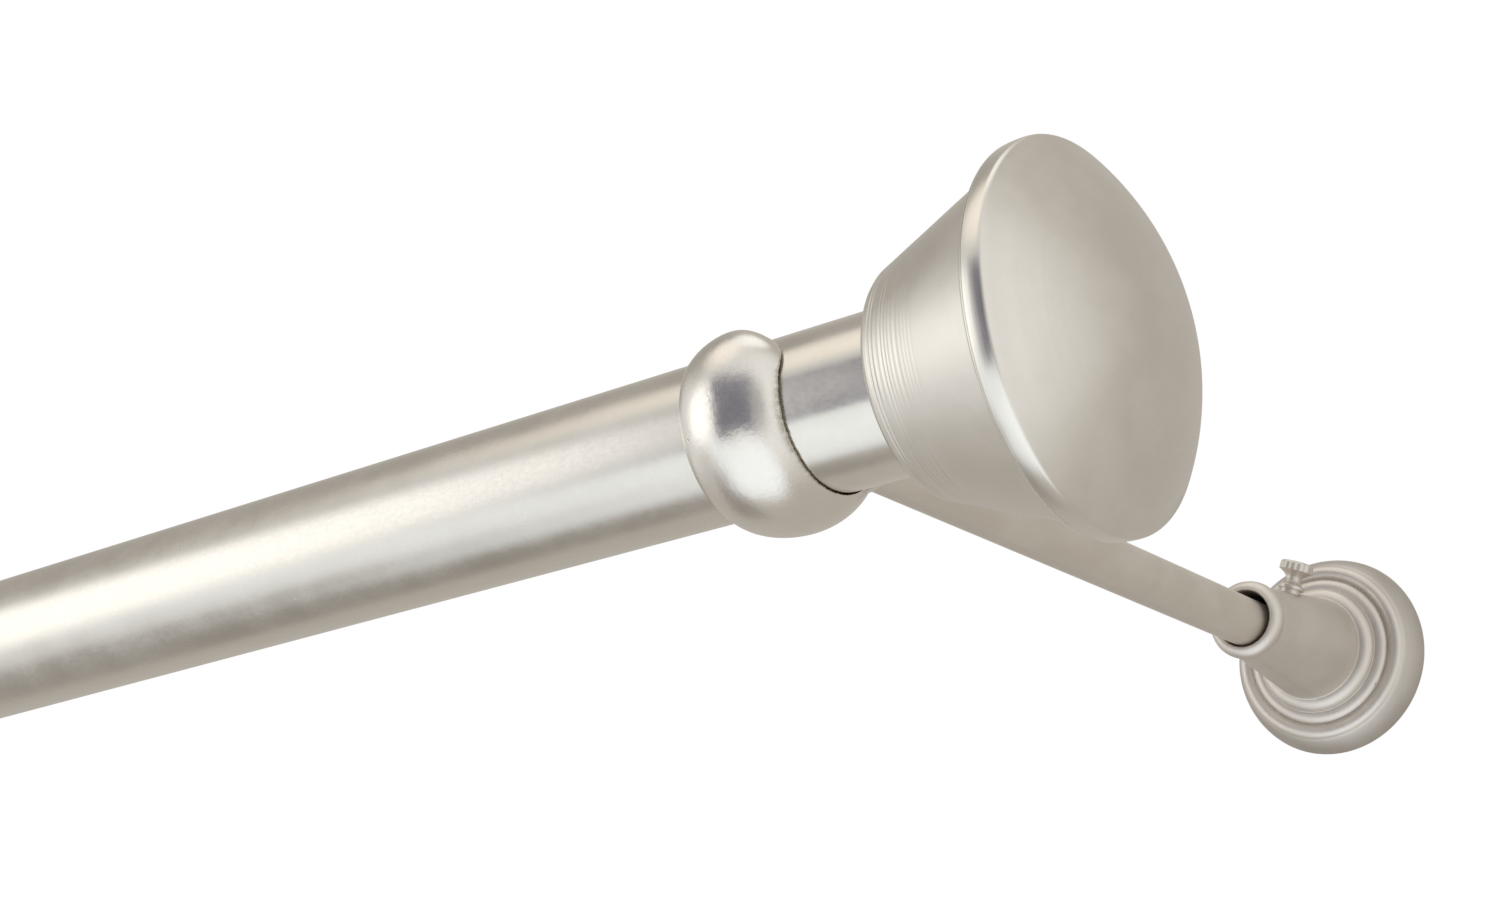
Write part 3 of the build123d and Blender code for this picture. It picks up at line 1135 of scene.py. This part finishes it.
@dataclass(frozen=True)
class Lamp:
    """Square soft lamp that the metal doesn't mirror, in metres, facing its target."""

    name: str
    place: Triple
    target: Triple
    size: float
    watts: float

    def build(self) -> None:
        """Adds the lamp, turned to its target."""
        data = bpy.data.lights.new(self.name, "AREA")
        data.size = self.size
        data.energy = self.watts
        lamp = linked(self.name, data)
        lamp.visible_glossy = False
        away = np.subtract(self.place, self.target)
        right = np.cross((0.0, 0.0, 1.0), away)
        axes = np.column_stack([right, np.cross(away, right), away])
        axes /= np.linalg.norm(axes, axis=0)
        lamp.matrix_world = Matrix.Translation(self.place) @ Matrix(axes.tolist()).to_4x4()


@dataclass(frozen=True)
class Studio:
    """White background, soft reflections, two soft lamps and a pale floor."""

    floor_z: float = -0.45
    floor_size: float = 30.0
    plain_level: float = 0.86
    lamps: tuple[Lamp, ...] = (
        Lamp("key_lamp", (-0.6, -1.3, 0.9), (0.1, -0.1, 0.0), 0.9, 4.0),
        Lamp("fill_lamp", (1.3, -0.7, 0.7), (0.2, -0.1, 0.0), 0.9, 2.5),
    )
    far_glow: Glow = Glow(180.0, 0.0, 0.0, 180.0, 0.58, Tint.WARM)
    glows: tuple[Glow, ...] = (
        Glow(-5.0, -5.0, 45.0, 105.0, 0.80),
        Glow(50.0, 2.0, 0.5, 84.0, 1.08),
        Panel(-94.0, -46.0, 14.0, 30.0, 0.38, Tint.WARM, 0.5),
        Glow(-96.0, 42.0, 12.0, 34.0, 0.46, Tint.WARM),
        Glow(-80.0, 6.0, 12.0, 32.0, 0.90),
        Panel(-40.0, -36.0, 9.0, 19.0, 1.2, Tint.CLEAR, 1.6),
        Glow(-62.0, -58.0, 6.0, 20.0, 1.12, Tint.CLEAR),
        Glow(0.0, -61.0, 21.0, 43.0, 1.34, Tint.CLEAR),
        Glow(-42.0, 58.0, 10.0, 25.0, 1.25, Tint.WARM),
        Glow(0.0, 90.0, 8.0, 24.0, 1.35),
        Glow(-51.0, 6.0, 10.0, 27.0, 1.66),
        Glow(26.0, 2.0, 14.0, 33.0, 0.52),
        Panel(-6.0, 5.0, 26.0, 33.0, 0.26, Tint.COOL, 0.88),
    )

    def world(self) -> None:
        """White for the camera, the soft patches for reflections and a plain level for the rest."""
        world = bpy.data.worlds.new("studio")
        bpy.context.scene.world = world
        world.use_nodes = True
        graph = Graph(world.node_tree)
        towards = graph.add("ShaderNodeTexCoord").outputs["Generated"]
        colour: Any = self.far_glow.colour()
        for glow in self.glows:
            colour = graph.tint(glow.share(graph, towards), colour, glow.colour())
        white = (1.0, 1.0, 1.0, 1.0)
        plain, reflected, backdrop = (
            graph.add("ShaderNodeBackground", {"Color": tone, "Strength": level}).outputs[0]
            for tone, level in ((white, self.plain_level), (colour, 1.0), (white, 1.0))
        )
        ray = graph.add("ShaderNodeLightPath").outputs
        seen = graph.maths("MAXIMUM", ray["Is Camera Ray"], ray["Is Transmission Ray"])
        inner = graph.add("ShaderNodeMixShader", {0: ray["Is Glossy Ray"], 1: plain, 2: reflected})
        outer = graph.add("ShaderNodeMixShader", {0: seen, 1: inner.outputs[0], 2: backdrop})
        graph.add("ShaderNodeOutputWorld", {"Surface": outer.outputs[0]})

    def floor(self) -> None:
        """Pale floor well under the rod, which the metal's reflections pass by."""
        half = self.floor_size / 2
        corners = [(x * half, y * half, self.floor_z) for x, y in ((-1, -1), (1, -1), (1, 1), (-1, 1))]
        mesh = bpy.data.meshes.new("floor")
        mesh.from_pydata(corners, [], [(0, 1, 2, 3)])
        material, graph = Graph.of_material("pale_floor")
        place = graph.add("ShaderNodeTexCoord").outputs["Object"]
        share = graph.spread(graph.noise(place, 3.0, 2.0), 0.3, 0.7)
        colour = graph.tint(share, (0.90, 0.90, 0.895), (0.93, 0.93, 0.925))
        graph.surface({"Base Color": colour, "Roughness": 0.9, "Specular IOR Level": 0.1})
        mesh.materials.append(material)
        floor = linked("floor", mesh)
        floor.visible_glossy = False

    def build(self) -> None:
        """Sets up the world, the lamps, the floor and the plain view transform."""
        bpy.context.scene.view_settings.view_transform = "Standard"
        self.world()
        for lamp in self.lamps:
            lamp.build()
        self.floor()


@dataclass(frozen=True)
class PhotoCamera:
    """Camera at the photograph's viewpoint.

    Attributes:
        place: where it stands, in millimetres.
        turn: axis of the turn from the world to the camera, whose x is right, y down and z forward,
            as long as its angle.
        focal_pixels: focal length for an image of the photograph's width.
        image_width: that width in pixels.
        sensor: width of the sensor in millimetres.
    """

    place: Triple = (466.45, -365.22, -104.39)
    turn: Triple = (1.1884, 0.3841, -0.587)
    focal_pixels: float = 2640.8
    image_width: float = 1500.0
    sensor: float = 36.0

    def build(self) -> None:
        """Adds the camera and makes it the scene's."""
        data = bpy.data.cameras.new("photo_camera")
        data.sensor_fit = "HORIZONTAL"
        data.sensor_width = self.sensor
        data.lens = self.focal_pixels / self.image_width * self.sensor
        data.clip_start = 0.01
        data.clip_end = 50.0
        camera = linked("photo_camera", data)
        right, down, ahead = np.array(Matrix.Rotation(np.linalg.norm(self.turn), 3, self.turn))
        axes = np.column_stack([right, -down, -ahead])
        place = tuple(v * MM for v in self.place)
        camera.matrix_world = Matrix.Translation(place) @ Matrix(axes.tolist()).to_4x4()
        bpy.context.scene.camera = camera


def main() -> None:
    """Builds every sub-assembly in order, then the studio and the camera."""
    logging.basicConfig(level=logging.INFO, format="%(name)s: %(message)s")
    fit = Fit()
    for maker in (Rod(fit), Finial(fit), Hook(fit), Arm(fit), WallBase(fit), Thumbscrew(fit), Plugs()):
        for piece in maker.dress():
            log.info("%s: %s faces", piece.name, len(piece.data.polygons))
    Studio().build()
    PhotoCamera().build()


if __name__ == "__main__":
    main()
